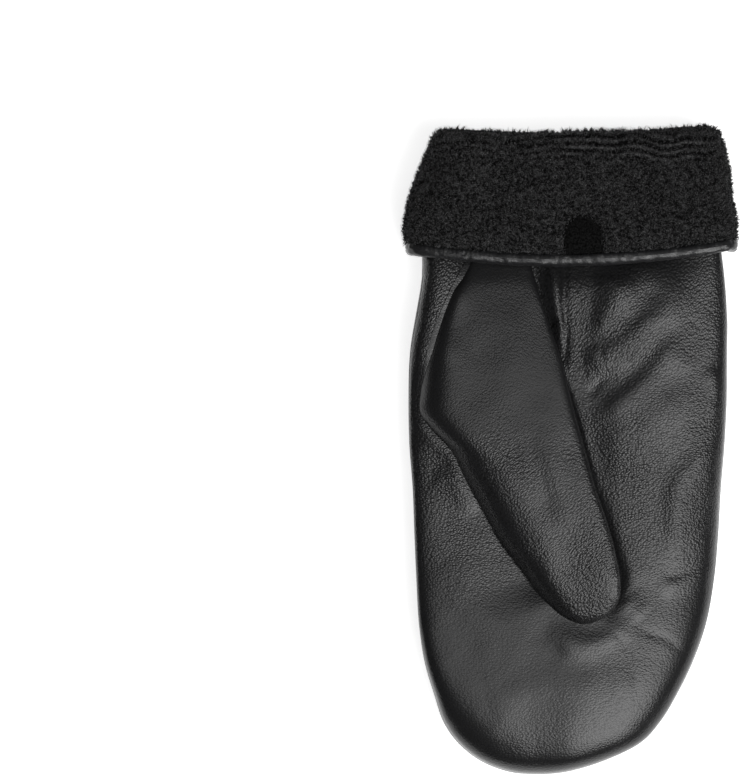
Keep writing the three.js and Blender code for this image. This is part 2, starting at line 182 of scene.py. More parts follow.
# Folds of the palm leather. Each runs along a path and has a height, below zero for a crease, a reach to
# the left and to the right of the path, and a power: 1 is sharp along its crest and 2 is round.
FOLDS = [
    # points of the path, height, left reach, right reach, power
    ([(-19, 2), (-6, -26), (4, -52)], -2.6, 17.0, 22.0, 2.0),
    ([(-54, 74), (-20, 70), (5, 69), (30, 70.5), (56, 74)], -4.0, 6.0, 5.6, 2.0),
    ([(-16.5, 70), (-12, 54), (-7, 39), (-4.4, 28)], -2.4, 3.8, 7.0, 1.7),
    ([(-6, 32), (-2.8, 20), (0.8, 8), (6, -12), (10.6, -27)], -1.3, 1.7, 7.0, 1.8),
    ([(7, -12), (11.4, -26), (14.6, -39), (16.2, -50), (11, -62)], -1.8, 2.6, 5.0, 1.8),
    ([(-7.6, 80), (-6.3, 62), (-4.9, 50), (-3.9, 38), (-3.2, 27)], 1.1, 2.6, 3.0, 2.0),
    ([(-3.3, 82), (-3.0, 62), (-2.6, 50), (-2.5, 40), (-2.9, 25)], -0.8, 1.3, 1.1, 2.0),
    ([(8, 56), (15, 62), (24, 66), (38, 70)], 1.6, 3.0, 8.0, 2.0),
    ([(9.0, 37), (11.2, 45.9), (14.1, 51.7), (18, 56.5), (24, 61)], 1.45, 3.4, 9.0, 2.0),
    ([(3.5, 31), (8, 32), (14.2, 34.3), (20.9, 38.7), (28.6, 45.9), (37.3, 54.1), (43, 60)],
     1.55, 5.0, 8.0, 2.0),
    ([(5, 9), (12.2, 13.1), (19, 18), (26.2, 23.7), (31.5, 30), (37.3, 36.8), (45, 44)], 1.35, 4.8, 8.4, 2.0),
    ([(8, -1), (16.1, 2.5), (26.7, 8.3), (36.3, 14.6), (49, 24)], 0.9, 7.0, 11.0, 2.0),
    ([(4.0, 19.0), (7.9, 21.8), (12.2, 25.7), (17.5, 27)], -0.4, 1.3, 1.2, 1.5),
    ([(11.2, 37.5), (11.0, 33.5), (11.6, 30)], -0.3, 1.0, 1.0, 1.6),
    ([(49, 30), (52, 20), (50, 10)], 0.6, 4.0, 4.0, 2.0),
    ([(51, 4), (47.4, -2.3), (42.1, -8.6), (38.2, -15.8), (37.8, -25.5), (37.3, -32.7), (33.5, -43)],
     0.9, 8.0, 4.2, 2.0),
    ([(53, -38.6), (47, -42.0), (38, -44.8), (32, -45.6)], -0.35, 1.4, 1.2, 1.5),
    ([(51, -45), (43, -48.6), (30, -50)], 0.5, 3.0, 4.0, 2.0),
    ([(19.5, -53), (25, -60)], 0.4, 4.0, 4.0, 2.0),
    ([(13.0, -62), (17.6, -69), (21.4, -77), (24, -88)], -0.22, 1.2, 1.5, 1.5),
    ([(20.4, -62), (29, -66), (36, -68.6), (43, -75)], -0.25, 1.4, 1.7, 1.5),
    ([(-60, 15.5), (-56, 9.3), (-51.8, 5.5), (-44.2, -1.8), (-40, -10.8), (-33, -23)], 0.9, 4.0, 3.6, 1.8),
    ([(-50, -9), (-42, -14), (-34, -23)], 0.5, 4.0, 4.0, 2.0),
    ([(-10, -66), (2, -69.5), (13, -67.5), (22, -59)], 0.7, 4.4, 5.0, 2.0),
    ([(-49.5, 80), (-50.8, 66), (-52.0, 56), (-53.8, 46), (-55.6, 34), (-57.0, 20)], 3.4, 11.0, 3.0, 2.0),
    ([(-46, -38), (-30, -60), (-8, -76)], 0.4, 8.0, 8.0, 2.0),
    ([(-30, -92), (-8, -84), (14, -88)], 0.3, 8.0, 7.0, 2.0),
]
FOLD_ENDS = 0.28
FOLD_STEPS = 22


def fold_height(x, y, path, height, left, right, power):
    """Height of one fold: height exp(-(d / reach)^power) at the distance d from its path, with the reach of
    that side, eased to nothing over both ends of the path."""
    path = np.array(path, float)
    at = np.linspace(0, len(path) - 1, FOLD_STEPS + 1)
    line = spline(path, at, path[-1])
    nearest = np.full(x.shape, np.inf)
    signed, along = np.zeros(x.shape), np.zeros(x.shape)
    for k in range(FOLD_STEPS):
        (x1, y1), (dx, dy) = line[k], line[k + 1] - line[k]
        t = np.clip(((x - x1) * dx + (y - y1) * dy) / (dx * dx + dy * dy), 0, 1)
        away_x, away_y = x - x1 - t * dx, y - y1 - t * dy
        away = np.hypot(away_x, away_y)
        closer = away < nearest
        nearest = np.where(closer, away, nearest)
        signed = np.where(closer, dx * away_y - dy * away_x, signed)
        along = np.where(closer, (k + t) / FOLD_STEPS, along)
    reach = np.where(signed > 0, left, right)
    ends = smooth(along / FOLD_ENDS) * smooth((1 - along) / FOLD_ENDS)
    return height * ends * np.exp(-((nearest / reach) ** power))


def palm_relief(x, y):
    """Height of all the folds at a point of the palm, read a little aside so that none runs quite true,
    with soft unevenness of the leather between them."""
    aside_x = x + 0.8 * noise(x / 9, y / 9, 1)
    aside_y = y + 0.8 * noise(x / 9, y / 9, 2)
    total = 0.18 * noise(x / 14, y / 14, 3) + 0.05 * noise(x / 6, y / 6, 4)
    for fold in FOLDS:
        total = total + fold_height(aside_x, aside_y, *fold)
    return total


def hand_point(row, angle, out, relief=palm_relief):
    """A point of the layer `out` outside the hand's leather. In the section of that row it is the middle
    plus the half sizes times the oval of the angle, which starts at the little-finger side and turns over
    the palm, with the relief on the palm side and nothing lower than where the section rests."""
    y, left, right, bottom, top = np.moveaxis(spline(HAND, row, HAND_PAST_TIP), -1, 0)
    lowest = lowest_of(bottom, top)
    middle, half = (left + right) / 2, (right - left) / 2
    side, rise = section_share(angle, y)
    x = middle + np.maximum(half + out, 0) * side
    z = (lowest + top) / 2 + np.maximum((top - lowest) / 2 + out, 0) * rise
    z = z + np.maximum(rise, 0) * relief(middle + half * side, y + 0 * side)
    z = np.maximum(z, np.maximum(bottom - out, 0))
    return np.stack([x, y + 0 * x, z], -1)


# Angles for steps along a section, closest where the oval turns fastest.
CLOSE_TO_QUARTERS = np.linspace(-1, 1, 1601)[:-1] ** 3 * np.pi / 4
ROUND = (np.arange(-2, 7)[:, None] * np.pi / 2 + CLOSE_TO_QUARTERS).ravel()
TYPICAL_HALF_WIDTH, TYPICAL_HALF_HEIGHT = 55.0, 12.5


def even_angles(start, end, share, y):
    """Angles at equal shares of the way along the section at y, from `start` to `end`."""
    side, rise = section_share(ROUND, y)
    way = way_along(np.hypot(TYPICAL_HALF_WIDTH * np.diff(side), TYPICAL_HALF_HEIGHT * np.diff(rise)))
    first, last = np.interp(start, ROUND, way), np.interp(end, ROUND, way)
    return np.interp(first + (last - first) * share, way, ROUND)


def seam_angles(row):
    """Angles at which the side seams cross the section of a row: where the oval has the seam's height."""
    y, left, right, bottom, top = np.moveaxis(spline(HAND, row, HAND_PAST_TIP), -1, 0)
    lowest = lowest_of(bottom, top)
    middle, up = (lowest + top) / 2, np.maximum((top - lowest) / 2, 0.1)

    def angle(column, square):
        rise = (np.interp(y, SEAM_HEIGHT[:, 0], SEAM_HEIGHT[:, column]) - middle) / up
        return np.arcsin(np.clip(oval(rise, 4 / square), -0.8, 0.8))

    return angle(2, squareness(y, True)), np.pi - angle(1, squareness(y, False))


# The turned-back cuff runs from its fold at the mouth to its hem, and its slack over the hand grows
# towards the hem, except underneath, where the mitten's weight closes it.
FOLD_PALM_SIDE, FOLD_BACK_SIDE = 108.4, 109.1
FOLD_PALM_RISE, FOLD_BACK_RISE = 0.6, 2.2
FOLD_TILT = 0.6
HEM_MIDDLE, HEM_RISE, HEM_TILT = 65.8, 5.2, 0.85
SLACK_AT_FOLD, SLACK_AT_HEM, SLACK_UNDERNEATH, SLACK_AT_SIDES = 0.5, 3.1, 0.95, 0.35
BINDING_HALF_WIDTH, BINDING_HALF_DEPTH = 2.3, 2.4


def fold_y(angle):
    """Where the cuff turns: a bow that rises to both sides, more on the back, whose lip shows behind the
    palm's, and a little more on the little-finger side."""
    side, _ = section_share(angle, FOLD_PALM_SIDE)
    palm = FOLD_PALM_SIDE + FOLD_PALM_RISE * side**2
    back = FOLD_BACK_SIDE + FOLD_BACK_RISE * side**2
    return back + (palm - back) * smooth((np.sin(angle) + 1) / 2) + FOLD_TILT * side


def hem_y(angle):
    """The hem's lower edge: a bow that rises to both sides, a little more on the little-finger side."""
    side, _ = section_share(angle, FOLD_PALM_SIDE)
    return HEM_MIDDLE + HEM_RISE * side**2 + HEM_TILT * side


def slack_at(angle, y):
    """Slack under the cuff at a height y, growing evenly from the fold to the hem."""
    share = np.clip(SLACK_AT_SIDES + np.sin(angle), 0, 1)
    at_hem = SLACK_UNDERNEATH + (SLACK_AT_HEM - SLACK_UNDERNEATH) * share
    down = np.clip((fold_y(angle) - y) / (FOLD_PALM_SIDE - HEM_MIDDLE), 0, 1)
    return SLACK_AT_FOLD + (at_hem - SLACK_AT_FOLD) * down


CUFF_FOLDS = [
    # points of the path, height, left reach, right reach, power
    ([(-37, 112), (-39, 96), (-43, 80)], 0.7, 3.0, 3.0, 2.0),
    ([(-42, 110), (-45, 98), (-48.5, 84)], -2.0, 2.6, 3.0, 2.0),
    ([(-20, 108), (-24, 94), (-29, 78)], -1.1, 4.5, 3.5, 2.0),
]
CUFF_UNEVENNESS = 0.35


def cuff_relief(x, y):
    """Soft waves of the cuff: a ridge and a dent near its index side, a shallow hollow beside them, and
    unevenness."""
    folds = sum(fold_height(x, y, *fold) for fold in CUFF_FOLDS)
    return folds + CUFF_UNEVENNESS * noise(x / 15, y / 15, 7)


def rows_of_hand(pitch, last_row):
    """Row numbers from the tip to `last_row`, stepping evenly along the leather."""
    row = np.linspace(len(HAND) - 1.05, last_row, 3001)
    y, left, right, bottom, top = np.moveaxis(spline(HAND, row, HAND_PAST_TIP), -1, 0)
    length = np.sqrt(np.diff(y) ** 2 + np.diff(top) ** 2 + (0.35 * np.diff(right - left)) ** 2)
    way = way_along(length)
    return np.interp(np.linspace(0, way[-1], int(way[-1] / pitch)), way, row)


WRIST_STEPS, TURN_STEPS, CUFF_STEPS = 14, 7, 20


def leather_grid(on_palm, columns, pitch):
    """Points of a leather panel, its rows running from the tip to the wrist, round the fold and back to the
    hem, and its columns from seam to seam."""
    share = np.linspace(0, 1, columns)

    def across(row):
        right, left = seam_angles(row)
        ends = (right, left) if on_palm else (left, right + 2 * np.pi)
        y = spline(HAND, row, HAND_PAST_TIP)[:, 0]
        return np.array([even_angles(start, end, share, at) for start, end, at in zip(*ends, y)])

    hand_rows = rows_of_hand(pitch, WRIST_ROW)
    hand = hand_point(hand_rows[:, None], across(hand_rows), 0)
    start_y = hand[-1, 0, 1]
    t = np.linspace(0, 1, WRIST_STEPS)[1:]
    angle = across(row_at(start_y + (FOLD_PALM_SIDE - start_y) * t))
    y = start_y + (fold_y(angle) - start_y) * t[:, None]
    wrist = hand_point(row_at(y), angle, 0)
    t = np.linspace(0, 1, TURN_STEPS)[1:-1, None]
    angle = angle[-1:] + 0 * t
    radius = SLACK_AT_FOLD / 2
    turn = hand_point(row_at(fold_y(angle)), angle, radius - radius * np.cos(np.pi * t), cuff_relief)
    turn[..., 1] += radius * np.sin(np.pi * t)
    t = np.linspace(0, 1, CUFF_STEPS)
    angle = across(row_at(FOLD_PALM_SIDE + (HEM_MIDDLE - FOLD_PALM_SIDE) * t))
    y = fold_y(angle) + (hem_y(angle) + BINDING_HALF_WIDTH - fold_y(angle)) * t[:, None]
    cuff = hand_point(row_at(y), angle, slack_at(angle, y), cuff_relief)
    return np.concatenate([hand, wrist, turn, cuff]), len(hand)


def normals_of(points):
    """Unit normals of a grid: along the rows' way crossed with along the columns' way."""
    normal = np.cross(np.gradient(points, axis=0), np.gradient(points, axis=1))
    return normal / np.maximum(np.linalg.norm(normal, axis=-1, keepdims=True), 1e-9)


def surface(name, points, closed=False, tip=None, turned=False, values=None):
    """A grid of points as a mesh object of quads. `closed` joins the last column to the first, `tip` holds
    the points that close the first row, and the last if there are two, with a fan, `turned` turns the faces
    round, and `values` become the point attribute "level"."""
    rows, columns = points.shape[:2]
    vertices = points.reshape(-1, 3) * MM
    wide = columns if closed else columns - 1
    i, j = np.meshgrid(np.arange(rows - 1), np.arange(wide), indexing="ij")
    i, j = i.ravel(), j.ravel()
    after = (j + 1) % columns
    quads = np.stack([i * columns + j, (i + 1) * columns + j,
                      (i + 1) * columns + after, i * columns + after], 1)
    fans = []
    for index, at in enumerate([] if tip is None else tip):
        vertices = np.vstack([vertices, np.array(at) * MM])
        edge = np.arange(wide) + (0 if index == 0 else (rows - 1) * columns)
        following = (np.arange(wide) + 1) % columns + (0 if index == 0 else (rows - 1) * columns)
        pole = np.full(wide, len(vertices) - 1)
        fans.append(np.stack([pole, edge, following] if index == 0 else [pole, following, edge], 1))
    faces = quads.tolist() + [face for fan in fans for face in fan.tolist()]
    if turned:
        faces = [face[::-1] for face in faces]
    mesh = bpy.data.meshes.new(name)
    mesh.from_pydata(vertices, [], faces)
    mesh.polygons.foreach_set("use_smooth", np.ones(len(faces), bool))
    if values is not None:
        level = np.zeros(len(vertices))
        level[: values.size] = values.ravel()
        mesh.attributes.new("level", "FLOAT", "POINT").data.foreach_set("value", level)
    piece = bpy.data.objects.new(name, mesh)
    bpy.context.scene.collection.objects.link(piece)
    return piece


def wall(piece, thickness):
    """Gives a sheet its thickness, on the side that its faces look away from."""
    solidify = piece.modifiers.new("wall", "SOLIDIFY")
    solidify.thickness = thickness * MM
    solidify.offset = -1
    solidify.use_even_offset = False


class Value:
    """An output socket of a material. Arithmetic on values adds Math nodes."""

    def __init__(self, socket):
        self.socket = socket

    def node(self, kind, settings=None, output=0, **inputs):
        """A new node: its settings first, then the values or links of its sockets by name."""
        return add_node(self.socket.id_data, kind, settings, output, **inputs)

    def math(self, operation, *values):
        node = self.socket.id_data.nodes.new("ShaderNodeMath")
        node.operation = operation
        for socket, value in zip(node.inputs, values):
            put(node, socket, value)
        return Value(node.outputs[0])

    def __add__(self, other):
        return self.math("ADD", self, other)

    def __sub__(self, other):
        return self.math("SUBTRACT", self, other)

    def __rsub__(self, other):
        return self.math("SUBTRACT", other, self)

    def __mul__(self, other):
        return self.math("MULTIPLY", self, other)

    __radd__ = __add__
    __rmul__ = __mul__


def put(node, socket, value):
    """Links a value to a socket, or sets a plain number, colour or vector on it."""
    if isinstance(value, Value):
        node.id_data.links.new(value.socket, socket)
    else:
        socket.default_value = value


def add_node(tree, kind, settings=None, output=0, **inputs):
    """A node of a type with its settings, then its sockets' values or links. A socket's name has _ for a
    space, and a Mix node's colour sockets are A_Color and B_Color."""
    node = tree.nodes.new(kind)
    for name, value in (settings or {}).items():
        setattr(node, name, value)
    for name, value in inputs.items():
        found = [s for s in node.inputs if s.enabled and s.name == name.replace("_", " ")]
        put(node, found[0], value)
    enabled = [s for s in node.outputs if s.enabled]
    return Value(enabled[output])


def new_material(name):
    """An empty material with its Object coordinates, and a function that gives it its shader."""
    material = bpy.data.materials.new(name)
    material.use_nodes = True
    tree = material.node_tree
    tree.nodes.clear()
    place = add_node(tree, "ShaderNodeTexCoord", None, 3)

    def finish(**sockets):
        shader = add_node(tree, "ShaderNodeBsdfPrincipled", None, 0, **sockets)
        output = tree.nodes.new("ShaderNodeOutputMaterial")
        tree.links.new(shader.socket, output.inputs["Surface"])
        return material

    return place, finish


def blend_colours(factor, low, high):
    """A colour between two, by a factor."""
    settings = {"data_type": "RGBA"}
    return factor.node("ShaderNodeMix", settings, 0, Factor=factor, A=low, B=high)


def ease(value, low, high, to_low=0.0, to_high=1.0):
    """A value mapped from one range to another, eased at both ends."""
    return value.node("ShaderNodeMapRange", {"interpolation_type": "SMOOTHSTEP"}, 0, Value=value,
                      From_Min=low, From_Max=high, To_Min=to_low, To_Max=to_high)


def grain(place, size, turn, stretch):
    """Depth of leather grain: 0 on the tops of pebbles, growing to the sharp lines between them, where
    random cells meet. They are uneven by a noise and stretched along a direction, as drawn leather is."""
    lie = {"vector_type": "TEXTURE"}
    uneven = place.node("ShaderNodeTexNoise", None, 1, Vector=place, Scale=0.45 / (size * MM), Detail=1.0)
    moved = place.node("ShaderNodeVectorMath", {"operation": "MULTIPLY_ADD"}, 0)
    node = moved.socket.node
    put(node, node.inputs[0], uneven)
    put(node, node.inputs[1], (0.7 * size * MM, 0.7 * size * MM, 0.7 * size * MM))
    put(node, node.inputs[2], place)
    turned = place.node("ShaderNodeMapping", lie, 0, Vector=moved, Rotation=(0, 0, np.radians(turn)),
                        Scale=(stretch, 1.0, 1.0))
    return place.node("ShaderNodeTexVoronoi", None, 0, Vector=turned, Scale=1 / (size * MM), Randomness=0.85)


def leather_material(name, size, relief, rough, dark, light, turns, faint, plain):
    """Fine-grained leather. The grain is drawn along the first turn where y is over 35 mm, along the second
    where it is under 10 mm, and along both between them. It is faint at the first y of `plain`, grows to
    full at the second, and is weaker in patches."""
    place, finish = new_material(name)
    spread = place.node("ShaderNodeTexNoise", None, 0, Vector=place, Scale=30.0, Detail=2.0)
    along_hand = place.node("ShaderNodeSeparateXYZ", None, 1, Vector=place) + 0.04 * (spread - 0.5)
    drawn = ease(along_hand, 0.01, 0.035)
    depth = grain(place, size, *turns[0]) * drawn + grain(place, size, *turns[1]) * (1.0 - drawn)
    patches = place.node("ShaderNodeTexNoise", None, 0, Vector=place, Scale=38.0, Detail=2.0)
    strength = ease(patches, 0.3, 0.65, 0.6, 1.0) * ease(along_hand, plain[0] * MM, plain[1] * MM, faint, 1.0)
    bump = place.node("ShaderNodeBump", None, 0, Strength=1.0, Distance=relief * MM,
                      Height=strength * (0 - depth))
    # The lines between the pebbles get painted shade: their base colour is blended from light to dark, and
    # they are rougher too.
    painted_shade_lines = ease(depth, 0.45, 0.8) * strength
    tone_with_painted_shading = blend_colours(painted_shade_lines, light, dark)
    return finish(Base_Color=tone_with_painted_shading, Roughness=rough + 0.15 * painted_shade_lines, Normal=bump, Specular_IOR_Level=0.38)


# The palm panel reaches from one side seam to the other. Its folds come from the thumb, which pulls the
# palm together, and along the seams its edge rolls in and is drawn tight by the stitches.
PALM_COLUMNS, PALM_PITCH = 184, 1.1
SEAM_DEPTH, SEAM_REACH = 0.9, 0.8
SEAM_STITCH, STITCH_PULL = 2.4, 0.25
SWELL_HEIGHT, SWELL_FROM_EDGE, SWELL_REACH = 0.35, 2.2, 1.2


def sink_seams(points, hand_rows):
    """Moves a panel's side edges in: depth exp(-(d / reach)^2) at the distance d from the edge, a little
    deeper at each stitch, with a low swell beside it, and nothing past the hand's rows."""
    step = np.linalg.norm(np.diff(points, axis=1), axis=-1)
    way = np.concatenate([np.zeros((len(points), 1)), np.cumsum(step, axis=1)], axis=1)
    from_edge = np.minimum(way, way[:, -1:] - way)
    stitched = 1 + STITCH_PULL * np.cos(2 * np.pi * points[..., 1] / SEAM_STITCH)
    sink = SEAM_DEPTH * stitched * np.exp(-((from_edge / SEAM_REACH) ** 2))
    swell = SWELL_HEIGHT * np.exp(-(((from_edge - SWELL_FROM_EDGE) / SWELL_REACH) ** 2))
    rows = np.arange(len(points))[:, None]
    shown = smooth((hand_rows + 4 - rows) / 8) * smooth((rows - 1) / 10)
    return points + normals_of(points) * ((swell - sink) * shown)[..., None]


palm_points, palm_hand_rows = leather_grid(True, PALM_COLUMNS, PALM_PITCH)
palm_points = sink_seams(palm_points, palm_hand_rows)
tip_point = (-11.2, -117.15, 9.0)
palm_panel = surface("palm_leather", palm_points, tip=[tip_point])
wall(palm_panel, LEATHER)
# The darker tone is painted shade in the grain's lines; the lighter one is the leather's own colour.
LEATHER_TONES = (0.002, 0.002, 0.0021, 1), (0.012, 0.012, 0.0125, 1)
leather = leather_material("sheepskin", 0.68, 0.2, 0.28, *LEATHER_TONES,
                           turns=((48.0, 1.5), (3.0, 1.4)), faint=0.4, plain=(-62.0, -8.0))
palm_panel.data.materials.append(leather)
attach(palm_panel, "root")
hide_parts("palm_panel")

# The back panel lies underneath. Its point seam, a ridge pinched up between two grooves and stitched
# through, runs down the middle of the back of the hand.
BACK_COLUMNS, BACK_PITCH = 190, 1.9
POINT_SEAM_X, POINT_SEAM_FROM, POINT_SEAM_TO, POINT_SEAM_EASING = 4.6, -23.0, 79.0, 3.0
GROOVE_DEPTH, GROOVE_ASIDE, GROOVE_REACH = 0.8, 1.0, 0.55
back_points, back_hand_rows = leather_grid(False, BACK_COLUMNS, BACK_PITCH)
back_points = sink_seams(back_points, back_hand_rows)
aside = np.abs(back_points[..., 0] - POINT_SEAM_X)
past_start, before_end = back_points[..., 1] - POINT_SEAM_FROM, POINT_SEAM_TO - back_points[..., 1]
lengthwise = smooth(past_start / POINT_SEAM_EASING) * smooth(before_end / POINT_SEAM_EASING)
groove = GROOVE_DEPTH * np.exp(-(((aside - GROOVE_ASIDE) / GROOVE_REACH) ** 2)) * lengthwise
lower_side = np.arange(len(back_points))[:, None] < back_hand_rows
back_points[..., 2] += groove * lower_side
back_panel = surface("back_leather", back_points, tip=[tip_point])
wall(back_panel, LEATHER)
back_panel.data.materials.append(leather)
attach(back_panel, "root")
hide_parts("back_panel")

# The thumb is a tapered tube of the same leather, sewn over its hole in the palm, and lies across it. Each
# section has the index side's edge, the little-finger side's, its lowest and highest point, and how square
# each side of its oval is: a round flank to the index side, and nearly a folded edge to the other.
THUMB = np.array([
    # left x, left y, right x, right y, bottom, top, left squareness, right squareness
    [-33.2, 76.0, -18.2, 76.0, 14.5, 24.0, 12.0, 10.0],
    [-38.3, 67.3, -15.0, 67.3, 15.0, 26.4, 11.0, 10.0],
    [-41.5, 61.6, -13.0, 60.5, 15.0, 28.0, 10.0, 10.0],
    [-44.4, 55.9, -11.0, 53.7, 21.8, 28.8, 9.5, 10.0],
    [-49.4, 43.6, -7.1, 41.9, 20.8, 29.8, 9.0, 10.0],
    [-52.8, 31.5, -3.5, 31.5, 20.0, 30.6, 8.0, 10.0],
    [-54.1, 20.7, -0.7, 20.0, 19.5, 31.3, 7.0, 10.0],
    [-54.3, 13.5, 1.8, 10.3, 19.4, 31.8, 6.0, 10.0],
    [-50.2, 7.1, 4.9, -0.8, 19.4, 32.2, 5.0, 10.0],
    [-43.1, -0.6, 8.1, -12.6, 19.6, 32.4, 4.4, 10.0],
    [-38.8, -9.3, 10.9, -20.8, 19.6, 32.4, 4.1, 10.0],
    [-33.5, -19.0, 13.1, -27.6, 19.7, 32.3, 3.9, 10.0],
    [-29.5, -26.5, 14.7, -33.3, 19.9, 32.1, 3.7, 10.0],
    [-24.8, -34.7, 16.0, -39.4, 20.2, 31.8, 3.6, 10.0],
    [-18.7, -42.6, 17.1, -45.5, 20.7, 31.3, 3.5, 9.0],
    [-13.3, -49.8, 17.4, -51.2, 21.3, 30.7, 3.4, 7.0],
    [-8.3, -55.5, 15.8, -55.9, 22.2, 29.8, 3.2, 4.6],
    [-2.6, -60.1, 11.4, -60.3, 23.5, 28.5, 2.9, 3.4],
    [4.2, -62.5, 4.2, -62.5, 26.0, 26.0, 2.6, 2.6],
])
THUMB_FACING = [2, 3, 0, 1, 5, 4, 6, 7]
THUMB_COLUMNS, THUMB_ROWS = 150, 170
THUMB_SUNK = 0.9
THUMB_UNDERCUT = 1.4
UNDERCUT_BELOW, UNDERCUT_WHERE_WIDER = 0.35, 9.0
LEFT_OUT_AT_ROOT, LEFT_OUT_AT_TIP = 0.02, 0.06
TYPICAL_THUMB_WIDTH, TYPICAL_THUMB_HEIGHT, TYPICAL_THUMB_SQUARENESS = 20.0, 8.0, 4.0
THUMB_UNEVENNESS = 0.2
THUMB_FOLDS = [
    ([(-30, 6), (-22, -10), (-12, -28), (-3, -42)], 0.28, 5.0, 4.4, 2.0),
    ([(-16, 8), (-11.5, -8), (-7, -24)], -0.22, 3.4, 3.4, 2.0),
    ([(-9, 2), (-5.5, -14), (-1, -32)], 0.18, 3.6, 4.0, 2.0),
    ([(-40, 62), (-45, 46), (-47, 30)], 0.4, 5.0, 4.0, 2.0),
]


def palm_top(x, y):
    """Height of the palm's leather under a point: the middle plus the half height times
    (1 - |side|^n)^(1/n), with the squareness n of that side, plus the relief."""
    _, left, right, bottom, top = np.moveaxis(spline(HAND, row_at(y), HAND_PAST_TIP), -1, 0)
    lowest = lowest_of(bottom, top)
    side = (x - (left + right) / 2) / ((right - left) / 2)
    square = squareness(y, side > 0)
    rise = np.maximum(1 - np.abs(side) ** square, 0) ** (1 / square)
    return (lowest + top) / 2 + (top - lowest) / 2 * rise + rise * palm_relief(x, y)


past_thumb_tip = THUMB[-2][THUMB_FACING]
thumb_row = np.linspace(LEFT_OUT_AT_ROOT, len(THUMB) - 1 - LEFT_OUT_AT_TIP, 3001)
section = spline(THUMB, thumb_row, past_thumb_tip)
middle = (section[:, 0:2] + section[:, 2:4]) / 2
half_width = np.linalg.norm(section[:, 2:4] - section[:, 0:2], axis=1) / 2
length = np.sqrt(np.sum(np.diff(middle, axis=0) ** 2, axis=1) + 0.5 * np.diff(half_width) ** 2)
way = way_along(length)
thumb_row = np.interp(np.linspace(0, way[-1], THUMB_ROWS), way, thumb_row)
section = spline(THUMB, thumb_row, past_thumb_tip)[:, None, :]


def round_corner(angle, square):
    """The unit oval |x|^n + |z|^n = 1 at a true angle: the direction over its own n-length."""
    length = (np.abs(np.cos(angle)) ** square + np.abs(np.sin(angle)) ** square) ** (1 / square)
    return np.cos(angle) / length, np.sin(angle) / length


circle = np.linspace(0, 2 * np.pi, 4001)
typical_x, typical_z = round_corner(circle, TYPICAL_THUMB_SQUARENESS)
circle_way = way_along(np.hypot(TYPICAL_THUMB_WIDTH * np.diff(typical_x),
                                TYPICAL_THUMB_HEIGHT * np.diff(typical_z)))
around = np.interp(np.arange(THUMB_COLUMNS) / THUMB_COLUMNS * circle_way[-1], circle_way, circle)
square = np.where(np.cos(around) < 0, section[..., 6], section[..., 7])
side, rise = round_corner(around, square)
rise = np.where((side < 0) & (rise > 0), 1 - np.abs(side) ** section[..., 6], rise)
wide = np.hypot(section[..., 2] - section[..., 0], section[..., 3] - section[..., 1]) / 2
undercut = THUMB_UNDERCUT * np.clip(UNDERCUT_BELOW - rise, 0, 1) * smooth(side)
undercut = undercut * np.clip(wide / UNDERCUT_WHERE_WIDER, 0, 1) ** 2
left_x, left_y, right_x, right_y, bottom, top = np.moveaxis(section[..., :6], -1, 0)
thumb_x = (left_x + right_x) / 2 + (right_x - left_x) / 2 * side - undercut
thumb_y = (left_y + right_y) / 2 + (right_y - left_y) / 2 * side
thumb_z = (bottom + top) / 2 + (top - bottom) / 2 * rise
for fold in THUMB_FOLDS:
    thumb_z = thumb_z + np.maximum(rise, 0) * fold_height(thumb_x, thumb_y, *fold)
thumb_z = thumb_z + THUMB_UNEVENNESS * np.maximum(rise, 0) * noise(thumb_x / 11, thumb_y / 11, 21)
thumb_points = np.stack([thumb_x, thumb_y, thumb_z], -1)
resting = palm_top(thumb_points[..., 0], thumb_points[..., 1]) - THUMB_SUNK
thumb_points[..., 2] = np.maximum(thumb_points[..., 2], resting)
thumb_tips = [thumb_points[0].mean(axis=0), thumb_points[-1].mean(axis=0)]
thumb_panel = surface("thumb_leather", thumb_points, closed=True, tip=thumb_tips, turned=True)
wall(thumb_panel, LEATHER)
thumb_leather = leather_material("sheepskin_of_thumb", 0.6, 0.19, 0.28, *LEATHER_TONES,
                                 turns=((-55.0, 1.3), (37.0, 1.7)), faint=0.4, plain=(18.0, -14.0))
thumb_panel.data.materials.append(thumb_leather)
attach(thumb_panel, "root")
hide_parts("thumb_panel")

# The pile lining is a bag of black plush inside the leather. It comes out of the mouth, turns over the
# fold and lies on the cuff down to the hem, with grooves across it where the turned pile bunches up.
BACKING = 1.8
PILE = 3.2
PILE_AT_HEM = 1.9
HEM_THINNING = 7.0
PILE_END = 3.5
MOUTH_DEPTH = 45.0
PILE_COLUMNS = 640
CUFF_ROWS, FOLD_ROWS, MOUTH_ROWS, HAND_INNER_ROWS = 84, 27, 15, 10
TAB_X, TAB_HALF_WIDTH, TAB_LENGTH = 3.9, 7.2, 13.6
TAB_DIP, TAB_MARGIN, TAB_INSET = 1.3, 0.9, 0.8
FACES_UP_FROM = 0.3
CLUMP_HEIGHT, SMALL_CLUMP_HEIGHT = 0.26, 0.24
FURROW_Y, FURROW_PITCH, FURROW_DEPTH = 105.2, 2.6, 0.7


def in_tab(x, y, margin, inset=0.0):
    """1 inside the outline of the tab, which is straight at the hem and round towards the fold, easing to
    0 over the margin outside it. The inset moves the outline in."""
    start = HEM_MIDDLE + 2 * BINDING_HALF_WIDTH
    centre = start + TAB_LENGTH - TAB_HALF_WIDTH
    beyond = np.hypot(x - TAB_X, np.maximum(y - centre, 0)) - TAB_HALF_WIDTH + inset
    return 1 - smooth(beyond / margin + 0.5)


